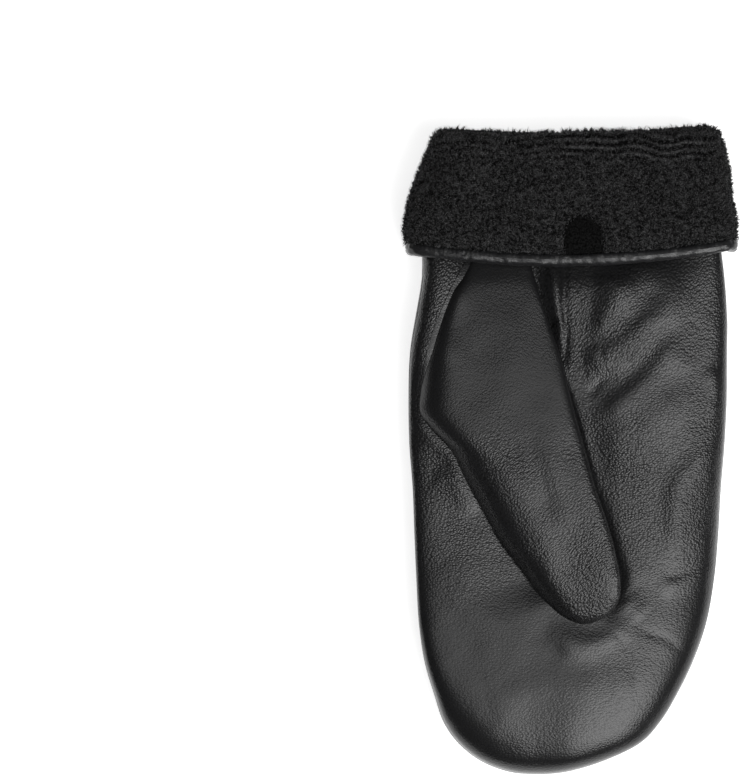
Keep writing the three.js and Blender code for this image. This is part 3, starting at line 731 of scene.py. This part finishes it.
def pile_surface(angle, stage):
    """The pile's free surface. `stage` runs from -1 deep in the mouth over 0 at the start of the fold and
    1 at its end to 2 at the hem, at a pile's depth from the backing all the way."""
    inside, turned, outside = stage < 0, (stage >= 0) & (stage <= 1), stage > 1
    fold = fold_y(angle)
    depth = BACKING + PILE
    middle = SLACK_AT_FOLD / 2
    turn = np.pi * np.clip(stage, 0, 1)
    hem = hem_y(angle) + PILE_END
    down = np.clip(stage - 1, 0, 1)
    y_cuff = fold + (hem - fold) * down
    pile = PILE_AT_HEM + (PILE - PILE_AT_HEM) * smooth((y_cuff - hem) / HEM_THINNING)
    out_on_cuff = slack_at(angle, y_cuff) + BACKING + pile
    out = np.where(outside, out_on_cuff, middle - (depth + middle) * np.cos(turn))
    y = np.where(inside, fold + stage * MOUTH_DEPTH, y_cuff)
    points = hand_point(row_at(y), angle, out, cuff_relief)
    points[..., 1] += np.where(turned, (depth + middle) * np.sin(turn), 0)
    return points


column_share = np.arange(PILE_COLUMNS) / PILE_COLUMNS
column_angle = even_angles(0.0, 2 * np.pi, column_share, FOLD_PALM_SIDE)[None, :]
cuff_stage = np.linspace(1, 2, CUFF_ROWS)[1:]
fold_stage = np.linspace(0, 1, FOLD_ROWS)
mouth_stage = -np.linspace(1, 0, MOUTH_ROWS)[:-1] ** 1.6
stage = np.concatenate([mouth_stage, fold_stage, cuff_stage])[:, None]
pile_points = pile_surface(column_angle + 0 * stage, stage + 0 * column_angle)
pile_normals = -normals_of(pile_points)


def tufted(points, angle):
    """How far the tufts stand out of the pile's surface: clumps at two sizes, and on the palm side grooves
    along the fold."""
    x, y, z = np.moveaxis(points, -1, 0)
    lengthwise, crosswise = y + 0.9 * z, x + 0.6 * np.sign(np.sin(angle)) * z
    clumps = CLUMP_HEIGHT * noise(crosswise / 0.95, lengthwise / 0.7, 8)
    clumps = clumps + SMALL_CLUMP_HEIGHT * noise(crosswise / 0.55, lengthwise / 0.45, 9)
    wavy = y + 1.7 * noise(x / 11, y / 18, 10) + 0.8 * noise(x / 4, y / 6, 11)
    rib = np.cos(2 * np.pi * (wavy - FURROW_Y) / FURROW_PITCH)
    on_palm = smooth(np.sin(angle) * 2)
    near_fold = smooth((y - 101) / 7) * smooth((116 - y) / 3)
    strong = 0.4 + 0.6 * smooth((x + 22) / 24) * smooth((54 - x) / 14)
    grooves = FURROW_DEPTH * rib * near_fold * on_palm * strong * (0.5 + 0.5 * noise(x / 7, y / 2.5, 12))
    return clumps + grooves


tuft_height = tufted(pile_points, column_angle)
under_tab = in_tab(pile_points[..., 0], pile_points[..., 1], TAB_MARGIN)
under_tab = under_tab * (np.sin(column_angle) > FACES_UP_FROM) * (stage > 1)
moved_out = tuft_height * (1 - under_tab) - TAB_DIP * under_tab
pile_points = pile_points + pile_normals * moved_out[..., None]
pile_points[..., 2] = np.maximum(pile_points[..., 2], 0)
shallow = np.linspace(0, 1, 7)[:, None]
back_angle = column_angle + 0 * shallow
hem_end = hem_y(back_angle) + PILE_END
back_y = hem_end + (fold_y(back_angle) - hem_end) * shallow
backing_cuff = hand_point(row_at(back_y), back_angle, slack_at(back_angle, back_y) + BACKING, cuff_relief)
turn = np.linspace(1, 0, 5)[1:-1, None]
turn_angle = column_angle + 0 * turn
half_slack = SLACK_AT_FOLD / 2
backing_turn = hand_point(row_at(fold_y(turn_angle)), turn_angle,
                          half_slack - (BACKING + half_slack) * np.cos(np.pi * turn), cuff_relief)
backing_turn[..., 1] += (BACKING + half_slack) * np.sin(np.pi * turn)


def inner_bag(out, rows):
    """Points of a layer inside the hand, from the mouth to the tip, ending short of it by its depth."""
    share = np.linspace(0, 1, rows)[:, None]
    angle = column_angle + 0 * share
    last = len(HAND) - 1.6
    mouth_row = row_at(fold_y(angle) - (MOUTH_DEPTH + 1) * (out < -BACKING - 1) - 0.5)
    row = mouth_row + (last - mouth_row) * share**0.8
    points = hand_point(row, angle, out)
    points[..., 1] += -out * smooth((row - 13) / 5)
    return points


inner_far = inner_bag(-BACKING - PILE, HAND_INNER_ROWS)[::-1]
inner_near = inner_bag(-BACKING, HAND_INNER_ROWS)
bag = np.concatenate([inner_far, pile_points, backing_cuff, backing_turn, inner_near])
# The pile's clump heights become the level, from which the plush paints shade where it is low and light where
# it is high.
level = np.concatenate([np.zeros(inner_far.shape[:2]), tuft_height,
                        np.zeros((len(bag) - len(inner_far) - len(pile_points), PILE_COLUMNS))])
bag_tips = [inner_far[0].mean(axis=0), inner_near[-1].mean(axis=0)]
pile = surface("pile_lining", bag, closed=True, tip=bag_tips, turned=True, values=level)


def pile_material(name, dark, light):
    """Plush: matt, with painted shade between the tufts and painted light on them, with fine fibres as noise
    and a soft sheen.
    """
    place, finish = new_material(name)
    level = place.node("ShaderNodeAttribute", {"attribute_name": "level"}, 2)
    fibres = place.node("ShaderNodeTexNoise", None, 0, Vector=place, Scale=2600.0, Detail=3.0, Roughness=0.65)
    clumps = place.node("ShaderNodeTexNoise", None, 0, Vector=place, Scale=1700.0, Detail=2.0)
    # Low pile and tuft roots get painted shade, high clumps and tuft points painted light.
    painted_light_by_height = ease(level + 1.5 * (clumps - 0.5), -0.3, 0.85)
    tone_with_painted_shading = blend_colours(painted_light_by_height * (0.2 + 0.8 * ease(fibres, 0.35, 0.7)), dark, light)
    bump = place.node("ShaderNodeBump", None, 0, Strength=0.9, Distance=0.35 * MM, Height=fibres + clumps)
    return finish(Base_Color=tone_with_painted_shading, Roughness=0.9, Normal=bump, Specular_IOR_Level=0.08,
                  Sheen_Weight=0.12, Sheen_Roughness=0.4, Sheen_Tint=(0.7, 0.7, 0.72, 1))


# The dark colour is painted shade between the tufts, the light one painted light on their points.
plush = pile_material("black_plush", (0.001, 0.001, 0.001, 1), (0.15, 0.15, 0.152, 1))
pile.data.materials.append(plush)
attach(pile, "root")
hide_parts("palm_lining", "back_lining")

# The tufts are short bent locks of the pile, set at random over the cuff, the fold and the mouth.
TUFTS = {"tufts_on_palm_side": (17000, 0.0, np.pi), "tufts_on_back_side": (7000, np.pi, 2 * np.pi)}
TUFT_LENGTH, TUFT_RADIUS, TUFT_LONGER_AT_EDGES, TUFT_SUNK = 1.2, 0.24, 0.8, 0.25
ON_FOLD = 0.35
ON_CUFF = 1.65


def tufts(name, count, first_angle, last_angle, seed):
    """Bent locks with three sides: a ring at the root, a ring half way and a point, leaning from the
    surface's normal in a random direction."""
    rng = np.random.default_rng(seed)
    angle = even_angles(first_angle, last_angle, rng.uniform(0, 1, count), FOLD_PALM_SIDE)
    drawn = rng.uniform(-0.35, 2.0, count)
    past_mouth = np.where(drawn < ON_FOLD, drawn / ON_FOLD, 1 + (drawn - ON_FOLD) / ON_CUFF)
    stage = np.where(drawn < 0, -np.abs(drawn) ** 1.3, past_mouth)
    little = 0.003
    root = pile_surface(angle, stage)
    along = pile_surface(angle, stage + little) - root
    side = pile_surface(angle + little, stage) - root
    normal = np.cross(side, along)
    normal /= np.linalg.norm(normal, axis=-1, keepdims=True)
    side /= np.linalg.norm(side, axis=-1, keepdims=True)
    forward = np.cross(normal, side)
    beside_tab = in_tab(root[:, 0], root[:, 1], TAB_MARGIN, TAB_INSET) < 0.5
    keep = beside_tab | (np.sin(angle) < FACES_UP_FROM) | (stage < 1)
    root, normal, side, forward, angle = (v[keep] for v in (root, normal, side, forward, angle))
    count = len(root)
    root = root + normal * (tufted(root, angle) - TUFT_SUNK)[:, None]
    heading = rng.uniform(0, 2 * np.pi, count)[:, None]
    lean = (side * np.cos(heading) + forward * np.sin(heading)) * rng.uniform(0.2, 1.1, count)[:, None]
    at_edge = np.maximum(smooth((root[:, 1] - 106) / 5), smooth((np.abs(np.cos(angle)) - 0.6) / 0.3))
    uneven = 0.55 + 0.8 * rng.uniform(0, 1, count) ** 3
    tall = (TUFT_LENGTH * uneven * (1 + TUFT_LONGER_AT_EDGES * at_edge))[:, None]
    wide = TUFT_RADIUS * rng.uniform(0.7, 1.3, count)[:, None]
    corner = (heading + np.arange(3) * 2 * np.pi / 3)[:, :, None]
    ring = side[:, None] * np.cos(corner) + forward[:, None] * np.sin(corner)
    low = root[:, None] + ring * wide[:, None]
    mid = (root + tall * (0.5 * normal + 0.28 * lean))[:, None] + ring * 0.7 * wide[:, None]
    point = (root + tall * (0.8 * normal + 0.95 * lean))[:, None]
    vertices = np.concatenate([low, mid, point], axis=1).reshape(-1, 3)
    vertices[:, 2] = np.maximum(vertices[:, 2], 0)
    pattern = []
    for k in range(3):
        n = (k + 1) % 3
        pattern += [(k, n, n + 3), (k, n + 3, k + 3), (k + 3, n + 3, 6)]
    pattern.append((2, 1, 0))
    faces = (np.arange(count)[:, None, None] * 7 + np.array(pattern)).reshape(-1, 3)
    mesh = bpy.data.meshes.new(name)
    mesh.from_pydata(vertices * MM, [], faces)
    # These levels give each lock painted shade at its root and painted light at its point in the plush.
    level = np.tile([-0.3, -0.3, -0.3, 0.15, 0.15, 0.15, 0.5], count)
    mesh.attributes.new("level", "FLOAT", "POINT").data.foreach_set("value", level)
    piece = bpy.data.objects.new(name, mesh)
    bpy.context.scene.collection.objects.link(piece)
    return piece


for seed, (name, (count, first_angle, last_angle)) in enumerate(TUFTS.items()):
    piece = tufts(name, count, first_angle, last_angle, seed)
    piece.data.materials.append(plush)
    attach(piece, "root")

# The hem binding is a strip of thinner leather rolled round the edges of leather and lining. Its stitches
# gather it into small puckers, and its ends lap at the little-finger side seam.
BINDING_COLUMNS, BINDING_ROWS = 1200, 26
PUCKER_PITCH, LAP_REACH = 1.6, 2.2
PILE_EDGE_ANGLE, STITCH_ANGLE, TOP_EDGE_ANGLE = 0.8, 0.95, 1.28
PILE_EDGE_REACH, STITCH_REACH, TOP_EDGE_REACH = 0.55, 0.14, 0.17
BINDING_SQUARENESS = 2.7
binding_share = np.arange(BINDING_COLUMNS) / BINDING_COLUMNS
binding_angle = even_angles(0.0, 2 * np.pi, binding_share, FOLD_PALM_SIDE)[None, :]
section = (np.arange(BINDING_ROWS) / BINDING_ROWS * 2 * np.pi)[:, None]
angle = binding_angle + 0 * section
hem = hem_y(angle)
centre_out = slack_at(angle, hem) + (BACKING + PILE_AT_HEM) / 2
line = hand_point(row_at(hem), binding_angle + 0 * section, centre_out, cuff_relief)[0]
line_way = way_along(np.linalg.norm(np.diff(line, axis=0), axis=1))
at_pile_edge = np.exp(-(((section - PILE_EDGE_ANGLE) / PILE_EDGE_REACH) ** 2))
pucker = np.cos(2 * np.pi * line_way / PUCKER_PITCH)[None, :] * at_pile_edge
stitch_groove = np.exp(-(((section - STITCH_ANGLE) / STITCH_REACH) ** 2))
lap = np.exp(-((np.minimum(line_way, line_way[-1] - line_way) / LAP_REACH) ** 2))[None, :]
uneven = 0.06 * noise(line_way / 5, section + 0 * line_way, 14)
uneven = uneven + 0.05 * noise(line_way / 1.7, section * 1.5 + 0 * line_way, 15)
top_edge = np.exp(-(((section - TOP_EDGE_ANGLE) / TOP_EDGE_REACH) ** 2))
size = 1 + 0.03 * pucker - 0.2 * stitch_groove + 0.16 * top_edge + 0.22 * lap + uneven
y = hem + BINDING_HALF_WIDTH * (1 + 1.06 * size * oval(np.sin(section), BINDING_SQUARENESS))
out = centre_out + BINDING_HALF_DEPTH * size * oval(np.cos(section), BINDING_SQUARENESS)
binding_points = hand_point(row_at(y), angle, out, cuff_relief)
binding_points = np.concatenate([binding_points, binding_points[:1]])
binding = surface("hem_binding", binding_points, closed=True, turned=True)
# The darker tone is painted shade in the binding grain's lines; the lighter one is its own colour.
binding_leather = leather_material("binding_leather", 0.6, 0.05, 0.3,
                                   (0.006, 0.006, 0.0063, 1), (0.016, 0.016, 0.017, 1),
                                   turns=((0.0, 1.3), (0.0, 1.3)), faint=0.4, plain=(0.0, 1.0))
binding.data.materials.append(binding_leather)
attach(binding, "root")
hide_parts("hem_binding")

# The tab is a small smooth tongue sewn into the binding, lying in the pile with its round end up.
TAB_ROWS, TAB_COLUMNS = 40, 40
TAB_SEWN_IN, TAB_THICKNESS = 1.0, 1.0
TAB_SUNK, TAB_EDGE_DROP, TAB_EDGE_REACH = 0.15, 0.5, 0.6
tab_start = HEM_MIDDLE + 2 * BINDING_HALF_WIDTH - TAB_SEWN_IN
v = (1 - np.linspace(1, 0, TAB_ROWS) ** 1.8)[:, None]
tab_y = tab_start + (TAB_LENGTH + TAB_SEWN_IN) * v
centre = tab_start + TAB_SEWN_IN + TAB_LENGTH - TAB_HALF_WIDTH
half = np.sqrt(np.maximum(TAB_HALF_WIDTH**2 - np.maximum(tab_y - centre, 0) ** 2, 1e-4))
u = np.sin(np.linspace(-1, 1, TAB_COLUMNS) * np.pi / 2)[None, :]
tab_x = TAB_X + half * u
pile_depth = PILE_AT_HEM + (PILE - PILE_AT_HEM) * smooth((tab_y - tab_start) / 8)
tab_rise = slack_at(np.pi / 2, tab_y) + BACKING + pile_depth - TAB_SUNK
base = spline(HAND, row_at(tab_y[:, 0]), HAND_PAST_TIP)[:, 4:5]
edge = (1 - np.abs(u)) * half
dropped = TAB_EDGE_DROP * np.exp(-((edge / TAB_EDGE_REACH) ** 2))
tab_z = base + tab_rise - dropped + cuff_relief(tab_x, tab_y + 0 * tab_x)
tab_points = np.stack([tab_x, tab_y + 0 * tab_x, tab_z], -1)
tab = surface("hem_tab", tab_points, turned=True)
wall(tab, TAB_THICKNESS)


def suede_material(name, dark, light):
    """Smooth matt suede: a fine nap as noise."""
    place, finish = new_material(name)
    nap = ease(place.node("ShaderNodeTexNoise", None, 0, Vector=place, Scale=1500.0, Detail=4.0), 0.3, 0.7)
    bump = place.node("ShaderNodeBump", None, 0, Strength=0.5, Distance=0.08 * MM, Height=nap)
    return finish(Base_Color=blend_colours(nap, dark, light), Roughness=0.85, Normal=bump,
                  Specular_IOR_Level=0.03)


suede = suede_material("black_suede", (0.0004, 0.0004, 0.0004, 1), (0.009, 0.009, 0.009, 1))
tab.data.materials.append(suede)
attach(tab, "root")
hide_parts("hem_tab")

# A plain pale floor, a broad soft light overhead, and a stronger one of the same kind at the lower right.
FLOOR_HALF, FLOOR_LOWER = 3000.0, 0.05
floor_ends = (-FLOOR_HALF, FLOOR_HALF)
floor_points = np.array([[[x, y, -FLOOR_LOWER] for x in floor_ends] for y in floor_ends])
floor = surface("floor", floor_points, turned=True)
_, finish_floor = new_material("pale_floor")
floor.data.materials.append(finish_floor(Base_Color=(0.9, 0.9, 0.9, 1), Roughness=0.9, Specular_IOR_Level=0.1,
                                         Emission_Color=(1, 1, 1, 1), Emission_Strength=0.8))


def area_light(name, power, size, location):
    """A square soft light that looks at the origin and isn't seen itself."""
    data = bpy.data.lights.new(name, "AREA")
    data.energy = power
    data.size = size
    light = bpy.data.objects.new(name, data)
    light.location = location
    light.rotation_mode = "QUATERNION"
    light.rotation_quaternion = (-Vector(location)).to_track_quat("-Z", "Y")
    light.visible_camera = False
    bpy.context.scene.collection.objects.link(light)


area_light("overhead", 25.0, 1.9, (0.16, -0.16, 3.8))
area_light("lower_right", 93.0, 2.0, (1.24, -1.24, 2.72))

world = bpy.data.worlds.new("room")
bpy.context.scene.world = world
world.use_nodes = True
world.node_tree.nodes["Background"].inputs[0].default_value = (0.012, 0.012, 0.012, 1)
world.node_tree.nodes["Background"].inputs[1].default_value = 1.0
bpy.context.scene.view_settings.view_transform = "Standard"
